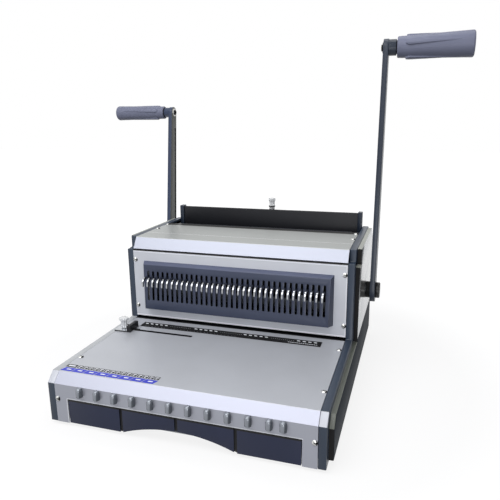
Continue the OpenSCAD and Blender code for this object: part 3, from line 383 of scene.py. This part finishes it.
def cross_faces(bm):
    """The faces in each screw's cross: near its axis, and either along it or deep in the head."""
    found, seen = [], set()
    for start in bm.faces:
        if start in seen:
            continue
        seen.add(start)
        screw, front = [start], [start]
        while front:
            for edge in front.pop().edges:
                for f in edge.link_faces:
                    if f not in seen:
                        seen.add(f)
                        screw.append(f)
                        front.append(f)
        spots = [v.co for f in screw for v in f.verts]
        low = [min(p[i] for p in spots) for i in range(3)]
        high = [max(p[i] for p in spots) for i in range(3)]
        middle = [(a + b) / 2 for a, b in zip(low, high)]
        # Screws in the front panel and the base's front look along -Y, the others up
        along = 1 if high[1] - low[1] > high[2] - low[2] else 2
        top, sign = (low[1], -1) if along == 1 else (high[2], 1)
        for f in screw:
            c = f.calc_center_median()
            off = math.hypot(c.x - middle[0], c[3 - along] - middle[3 - along])
            deep = sign * (top - c[along])
            if off < CROSS_REACH * MM and (abs(f.normal[along]) < 0.5 or deep > CROSS_DEPTH * MM):
                found.append(f)
    return found


def finish_mesh(obj):
    """Turns an object's modifiers into a plain mesh."""
    graph = bpy.context.evaluated_depsgraph_get()
    done = bpy.data.meshes.new_from_object(obj.evaluated_get(graph))
    obj.modifiers.clear()
    draft, obj.data = obj.data, done
    bpy.data.meshes.remove(draft)


WELD = 2e-6                     # metres within which corners of the CAD's triangles are one
FLAT = math.radians(0.6)        # triangles that meet at less than this become one face
SHARP = math.radians(28.0)      # edges that turn by more than this are rounded


def rounded(name, width, parts=()):
    """A copy of a CAD node that stands for it, its sharp edges rounded to a width in millimetres.

    parts are (find, material): the faces that find gives for the mesh get the material, and a later
    part wins. With a width of 0 the edges stay as they are.
    """
    source = nodes[name]
    mesh = source.data.copy()
    mesh.name = name + "_rounded"
    bm = bmesh.new()
    bm.from_mesh(mesh)
    bmesh.ops.remove_doubles(bm, verts=bm.verts, dist=WELD)
    bmesh.ops.dissolve_limit(bm, angle_limit=FLAT, verts=bm.verts, edges=bm.edges)
    for find, material in parts:
        mesh.materials.append(material)
        for f in find(bm):
            f.material_index = len(mesh.materials) - 1
    bm.to_mesh(mesh)
    bm.free()
    mesh.polygons.foreach_set("use_smooth", [True] * len(mesh.polygons))
    obj = bpy.data.objects.new(name + "_rounded", mesh)
    scene.collection.objects.link(obj)
    if width:
        bevel = obj.modifiers.new("rounding", "BEVEL")
        bevel.width = width * MM
        bevel.segments = 2
        bevel.limit_method = "ANGLE"
        bevel.angle_limit = SHARP
        bevel.harden_normals = True
    finish_mesh(obj)
    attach(obj, source["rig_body"])
    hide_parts(name)
    return obj


# Side covers: beyond the navy strip lies the pad, whose front is black. A painted highlight makes
# the base's upper edge pale along the left, and the bevel at the front of both sides
STRIP_OUT = 185.4
EDGE_REAR_Y, EDGE_Z = -8, (-14, 8)
BEVEL_FRONT_Y = -200
pad = [(faces_where(lambda c, n: abs(c.x) > STRIP_OUT), CHARCOAL_ABS),
       (faces_where(lambda c, n: abs(c.x) > STRIP_OUT and n.y < -0.5), RULER_FILM),
       (faces_where(lambda c, n: abs(c.x) > STRIP_OUT and n.z > 0.3), PAD_EDGE_ABS)]
rounded("side_cover_left", 1.1, parts=pad + [
    (faces_where(lambda c, n: c.y < EDGE_REAR_Y and EDGE_Z[0] < c.z < EDGE_Z[1] and n.z > 0.3),
     SIDE_EDGE_HIGHLIGHT_ABS)])
rounded("side_cover_right", 1.1, parts=pad + [
    (faces_where(lambda c, n: c.x < STRIP_OUT and c.y < BEVEL_FRONT_Y and n.z > 0.2 and n.y < -0.2),
     SIDE_EDGE_HIGHLIGHT_ABS)])

# Arms: the ends of their bosses are black. On the closer's inner side a painted reflection lightens
# it, and painted shade blackens the groove down it
PUNCH_BOSS_X = (204.3, 217.5)
CLOSER_BOSS_X = (-214, -199.8)
CLOSER_GROOVE_X = (-201.5, -200.3)
rounded("punch_arm", 0.9, parts=[
    (faces_where(lambda c, n: c.x > PUNCH_BOSS_X[1] or c.x < PUNCH_BOSS_X[0]), BLACKENED_STEEL_AND_SHADE)])
rounded("closer_arm", 0.8, parts=[
    (faces_where(lambda c, n: n.x > 0.7 and CLOSER_GROOVE_X[1] < c.x), ARM_SIDE_PAINTED_REFLECTION),
    (faces_where(lambda c, n: c.x < CLOSER_BOSS_X[0] or c.x > CLOSER_BOSS_X[1]
                 or CLOSER_GROOVE_X[0] < c.x < CLOSER_GROOVE_X[1]), BLACKENED_STEEL_AND_SHADE)])
rounded("closer_brackets", 0.8)
rounded("drawer_front", 0.6)

# A painted highlight makes the trim's upper edge paler, and painted shade makes the walls of its
# slots black
SLOT_Z = (TRIM[0].z + 16.3, TRIM[1].z - 13.8)
TRIM_END = 8
rounded("hook_trim", 0.25, parts=[
    (faces_where(lambda c, n: n.z > 0.5 and c.z > SLOT_Z[1]), TRIM_TOP_HIGHLIGHT_ABS),
    (faces_where(lambda c, n: abs(c.x) < TRIM[1].x - TRIM_END and SLOT_Z[0] < c.z < SLOT_Z[1]
                 and abs(n.y) < 0.5), BLACKENED_STEEL_AND_SHADE)])
rounded("closer_bar", 0.7)
rounded("punch_grip", 0.6)
rounded("closer_grip", 0.5)
rounded("punch_cap", 0.8)
rounded("closer_cap", 0.8)

# The size knob has a black ring under its head, and the paper stop a plated foot
KNOB_RING_Z = (162.5, 165.3)
FOOT_END_X, FOOT_TOP_Z = -156.2, 3
rounded("size_knob", 0.35, parts=[
    (faces_where(lambda c, n: KNOB_RING_Z[0] < c.z < KNOB_RING_Z[1]), BLACK_ABS)])
rounded("guide_clamp", 0.35)
rounded("edge_guide", 0.3, parts=[
    (faces_where(lambda c, n: c.x < FOOT_END_X and c.z < FOOT_TOP_Z), NICKEL)])
rounded("shaft_bushes", 0.5)

# Painted shade: pulls and screws are darker on the side that looks away from the light, and so is a
# screw's cross
PULL_FRONT_Y = -219
for name in PULLS:
    rounded(name, 0.5, parts=[
        (faces_where(lambda c, n: c.y < PULL_FRONT_Y and (n.x > 0.5 or n.z < -0.5)),
         PULL_SHADE_ABS)])
rounded("panel_screws", 0.15, parts=[
    (faces_where(lambda c, n: n.x > 0.3 or n.z < -0.5), BLACKENED_STEEL_AND_SHADE), (cross_faces, BLACKENED_STEEL_AND_SHADE)])

# Grip bolts: a black head inside the arm, on a zinc washer at the closer's, and a black spacer
# before the grip
CLOSER_WASHER_X = (-200.1, -198.6)
CLOSER_SPACER_X = (-219.3, -217.9)
PUNCH_HEAD_X = 204.6
PUNCH_SPACER_X = (222.4, 223.8)
rounded("closer_grip_bolt", 0.2, parts=[
    (faces_where(lambda c, n: CLOSER_WASHER_X[0] < c.x < CLOSER_WASHER_X[1]), ZINC_WASHER),
    (faces_where(lambda c, n: c.x > CLOSER_WASHER_X[1]
                 or CLOSER_SPACER_X[0] < c.x < CLOSER_SPACER_X[1]), BLACKENED_STEEL_AND_SHADE)])
rounded("punch_grip_bolt", 0.2, parts=[
    (faces_where(lambda c, n: c.x < PUNCH_HEAD_X
                 or PUNCH_SPACER_X[0] < c.x < PUNCH_SPACER_X[1]), BLACKENED_STEEL_AND_SHADE)])

# The return springs stand on the guide; their copy keeps its edges and gets a mesh of its own
springs = rounded("punch_springs", 0)
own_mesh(springs)


# ------------------------------------------------------------------ printed marks
def mark_tree():
    """Geometry Nodes tree: a row of thin printed cells, each leaning by a share of its depth."""
    t = bpy.data.node_groups.new("row_of_marks", "GeometryNodeTree")
    face = t.interface
    face.new_socket("Geometry", in_out="OUTPUT", socket_type="NodeSocketGeometry")
    for label, kind in (("Count", "Int"), ("Pitch", "Float"), ("Cell", "Vector"), ("Lean", "Float"),
                        ("Ink", "Material")):
        face.new_socket(label, in_out="INPUT", socket_type="NodeSocket" + kind)
    given = add(t, "NodeGroupInput").outputs
    step = add(t, "ShaderNodeCombineXYZ", {"X": given["Pitch"]})
    line = add(t, "GeometryNodeMeshLine", {"Count": given["Count"],
                                           "Offset": step.outputs["Vector"]})
    cell = add(t, "GeometryNodeMeshCube", {"Size": given["Cell"]})
    here = add(t, "GeometryNodeInputPosition")
    parts = add(t, "ShaderNodeSeparateXYZ", {"Vector": here.outputs["Position"]})
    lean = add(t, "ShaderNodeMath", {0: parts.outputs["Y"], 1: given["Lean"]},
               operation="MULTIPLY")
    shift = add(t, "ShaderNodeCombineXYZ", {"X": lean.outputs["Value"]})
    slanted = add(t, "GeometryNodeSetPosition", {"Geometry": cell.outputs["Mesh"],
                                                 "Offset": shift.outputs["Vector"]})
    row = add(t, "GeometryNodeInstanceOnPoints", {"Points": line.outputs["Mesh"],
                                                  "Instance": slanted.outputs["Geometry"]})
    real = add(t, "GeometryNodeRealizeInstances", {"Geometry": row.outputs["Instances"]})
    inked = add(t, "GeometryNodeSetMaterial", {"Geometry": real.outputs["Geometry"],
                                               "Material": given["Ink"]})
    add(t, "NodeGroupOutput", {"Geometry": inked.outputs["Geometry"]})
    return t


MARKS = mark_tree()
SOCKETS = {s.name: s.identifier for s in MARKS.interface.items_tree if s.in_out == "INPUT"}
INK = 0.08                      # thickness of a print; the real one is about 0.02 mm


def marks_row(name, first, count, pitch, cell, ink, lean=0.0):
    """A row of marks along X, in the machine's millimetres.

    first is the middle of the first mark, cell a mark's width and depth, and lean how far it
    slants in X for its depth in Y.
    """
    obj = bpy.data.objects.new(name, bpy.data.meshes.new(name))
    scene.collection.objects.link(obj)
    mod = obj.modifiers.new("marks", "NODES")
    mod.node_group = MARKS
    mod[SOCKETS["Count"]] = count
    mod[SOCKETS["Pitch"]] = pitch * MM
    mod[SOCKETS["Cell"]] = [c * MM for c in (*cell, INK)]
    mod[SOCKETS["Lean"]] = lean
    mod[SOCKETS["Ink"]] = ink
    finish_mesh(obj)
    shift = at(*first)
    for v in obj.data.vertices:
        v.co += shift
    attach(obj, "frame")


# Groups of dots along the rear edge of the ruler strip, one to a hook, with fine lines between them
PITCH = 8.4667
STRIP_Z = 0.5 + INK / 2
DOT_GROUPS = ((-142.2, 5), (-56.4, 5), (25.6, 5), (109.4, 4))
for i, (x, count) in enumerate(DOT_GROUPS):
    marks_row("ruler_dots_%d" % i, (x, -25.6, STRIP_Z), count, PITCH, (4.6, 2.8), WHITE_INK, -0.5)
    if i + 1 < len(DOT_GROUPS):
        marks_row("ruler_lines_%d" % i, (x + count * PITCH, -27, STRIP_Z), 12, 3.1, (1.3, 1.2),
                  GREY_INK)
marks_row("ruler_scale", (-140, -35.6, STRIP_Z), 28, 2 * PITCH / 3, (0.6, 1.6), GREY_INK)
marks_row("ruler_end_line", (96, -33.2, STRIP_Z), 14, 3.2, (2.2, 1.4), WHITE_INK, 0.3)

# A plain table of cells at the front left of the plate, with smaller marks on its cells
CELL_Z = INK / 2
ON_CELL_Z = CELL_Z + INK
BLUE_ROW = (8, 17.3)            # how many cells, and their pitch
DARK_ROW = (15, 8.2)
BLUE_LEAN = 0.35
CELL_DEPTH = 7.6
marks_row("chart_blue", (-165.4, -201.3, CELL_Z), *BLUE_ROW, (16.3, 9.4), BLUE_INK, BLUE_LEAN)
marks_row("chart_blue_marks", (-164.6, -201.0, ON_CELL_Z), *BLUE_ROW, (6.4, 2.2), WHITE_INK,
          BLUE_LEAN)
marks_row("chart_first", (-166.4, -191.2, CELL_Z), 1, 1.0, (15.5, CELL_DEPTH), DARK_INK)
marks_row("chart_first_mark", (-166.4, -191.0, ON_CELL_Z), 1, 1.0, (10.5, 3.0), WHITE_INK)
marks_row("chart_cells", (-153.5, -191.2, CELL_Z), *DARK_ROW, (7.0, CELL_DEPTH), DARK_INK)
marks_row("chart_cell_tops", (-153.5, -189.6, ON_CELL_Z), *DARK_ROW, (4.4, 1.5), WHITE_INK)
marks_row("chart_cell_feet", (-154.1, -192.8, ON_CELL_Z), *DARK_ROW, (2.6, 1.5), WHITE_INK)


# ------------------------------------------------------------------ floor and light
def seen_directly(tree):
    """1 for rays from the camera, mirrored or through something clear, 0 for light on the part."""
    ray = add(tree, "ShaderNodeLightPath").outputs
    either = add(tree, "ShaderNodeMath", {0: ray["Is Camera Ray"], 1: ray["Is Glossy Ray"]},
                 operation="MAXIMUM")
    return add(tree, "ShaderNodeMath", {0: either.outputs["Value"], 1: ray["Is Transmission Ray"]},
               operation="MAXIMUM").outputs["Value"]


# A pale grey floor, lifted to white where it is seen: a little less near the machine, so that its
# shadow stays, and wholly from a distance on, all in metres
FLOOR_SIZE = 6.0
LIFT_FROM, LIFT_TO = 0.35, 0.65
LIFT_NEAR = 0.84
floor_material = bpy.data.materials.new("studio_floor")
t = empty_tree(floor_material)
place = add(t, "ShaderNodeTexCoord").outputs["Object"]
cloud = add(t, "ShaderNodeTexNoise", {"Vector": place, "Scale": 3.0})
pale = add(t, "ShaderNodeValToRGB", {"Fac": cloud.outputs["Fac"]})
pale.color_ramp.elements[0].color = linear("707072")
pale.color_ramp.elements[1].color = linear("747475")
far = add(t, "ShaderNodeVectorMath", {0: place}, operation="LENGTH")
lift = add(t, "ShaderNodeMapRange", {"Value": far.outputs["Value"], "From Min": LIFT_FROM,
                                     "From Max": LIFT_TO, "To Min": LIFT_NEAR, "To Max": 1.0})
glow = add(t, "ShaderNodeMath", {0: seen_directly(t), 1: lift.outputs["Result"]},
           operation="MULTIPLY")
floor_shader = add(t, "ShaderNodeBsdfPrincipled", {
    "Base Color": pale.outputs["Color"], "Roughness": 0.9, "Specular IOR Level": 0.0,
    "Emission Color": (1, 1, 1, 1), "Emission Strength": glow.outputs["Value"]})
add(t, "ShaderNodeOutputMaterial", {"Surface": floor_shader.outputs["BSDF"]})
bm = bmesh.new()
bmesh.ops.create_grid(bm, x_segments=1, y_segments=1, size=FLOOR_SIZE)
floor_mesh = bpy.data.meshes.new("floor")
bm.to_mesh(floor_mesh)
bm.free()
floor_mesh.materials.append(floor_material)
floor = bpy.data.objects.new("floor", floor_mesh)
scene.collection.objects.link(floor)


def softbox(name, place, target, width, height, watts):
    """A rectangular soft light at a place, turned to a target, both in the row frame in metres."""
    data = bpy.data.lights.new(name, "AREA")
    data.shape = "RECTANGLE"
    data.size = width
    data.size_y = height
    data.energy = watts
    lamp = bpy.data.objects.new(name, data)
    lamp.location = place
    lamp.rotation_mode = "QUATERNION"
    lamp.rotation_quaternion = (Vector(target) - Vector(place)).to_track_quat("-Z", "Y")
    scene.collection.objects.link(lamp)


softbox("overhead_front", place=(-0.22, -0.62, 1.07), target=(0, -0.06, 0.1), width=1.2,
        height=0.75, watts=9.0)
softbox("above", place=(0.05, 0.3, 1.45), target=(0, 0.1, 0.1), width=0.9, height=0.5, watts=3.5)
softbox("front_right", place=(0.55, -1.45, 0.24), target=(0.08, 0, 0.1), width=0.7, height=0.35,
        watts=5.5)

# A card of dull black paper stands to the right of the machine, so that what faces it goes dark;
# the camera looks past it
CARD_X, CARD_Y, CARD_Z = 0.6, (-1.0, 0.5), (0.01, 0.26)
card_material = bpy.data.materials.new("black_card")
t = empty_tree(card_material)
place = add(t, "ShaderNodeTexCoord").outputs["Object"]
fibre = add(t, "ShaderNodeTexNoise", {"Vector": place, "Scale": 40.0})
dull = add(t, "ShaderNodeMapRange", {"Value": fibre.outputs["Fac"], "To Min": 0.85, "To Max": 1.0})
card_shader = add(t, "ShaderNodeBsdfPrincipled", {
    "Base Color": (0.01, 0.01, 0.01, 1), "Roughness": dull.outputs["Result"],
    "Specular IOR Level": 0.0})
add(t, "ShaderNodeOutputMaterial", {"Surface": card_shader.outputs["BSDF"]})
card_mesh = bpy.data.meshes.new("card")
card_mesh.from_pydata([(CARD_X, CARD_Y[0], CARD_Z[0]), (CARD_X, CARD_Y[1], CARD_Z[0]),
                       (CARD_X, CARD_Y[1], CARD_Z[1]), (CARD_X, CARD_Y[0], CARD_Z[1])],
                      [], [(3, 2, 1, 0)])
card_mesh.materials.append(card_material)
card = bpy.data.objects.new("card", card_mesh)
card.visible_camera = False
scene.collection.objects.link(card)

# White surroundings where they are seen, and weaker as a light on the machine
WORLD_LIGHT = 0.36
world = bpy.data.worlds.new("studio")
t = empty_tree(world)
level = add(t, "ShaderNodeMapRange", {"Value": seen_directly(t), "To Min": WORLD_LIGHT,
                                      "To Max": 1.0})
sky = add(t, "ShaderNodeBackground", {"Color": (1, 1, 1, 1), "Strength": level.outputs["Result"]})
add(t, "ShaderNodeOutputWorld", {"Surface": sky.outputs["Background"]})
scene.world = world
scene.view_settings.view_transform = "Standard"

bpy.context.view_layer.update()
